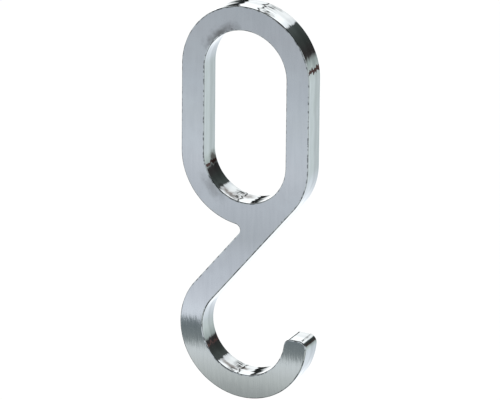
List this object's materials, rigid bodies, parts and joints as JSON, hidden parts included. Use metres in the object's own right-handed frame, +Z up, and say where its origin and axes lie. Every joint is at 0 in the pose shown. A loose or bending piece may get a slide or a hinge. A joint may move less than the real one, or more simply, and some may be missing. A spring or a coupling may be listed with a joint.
{
  "type": "closet rod hook",
  "caption": "Flat one-piece hook whose oval loop slides over an oval closet rail, with a slanting arm running down to an open hook, brushed on its faces and bright on its edges.",
  "frame": {"origin": "centre of the loop's opening, halfway through the thickness", "axes": "+Z up from the hook to the loop, -Y out of the front face, +X towards the side on which the hook's tip stands"},
  "size_m": [0.0242, 0.0044, 0.0713],
  "materials": {
    "chrome": "chrome over cast metal, vertically brushed on the two flat faces and bright on the edges"
  },
  "bodies": {
    "root": {"hook": "chrome"}
  },
  "joints": []
}
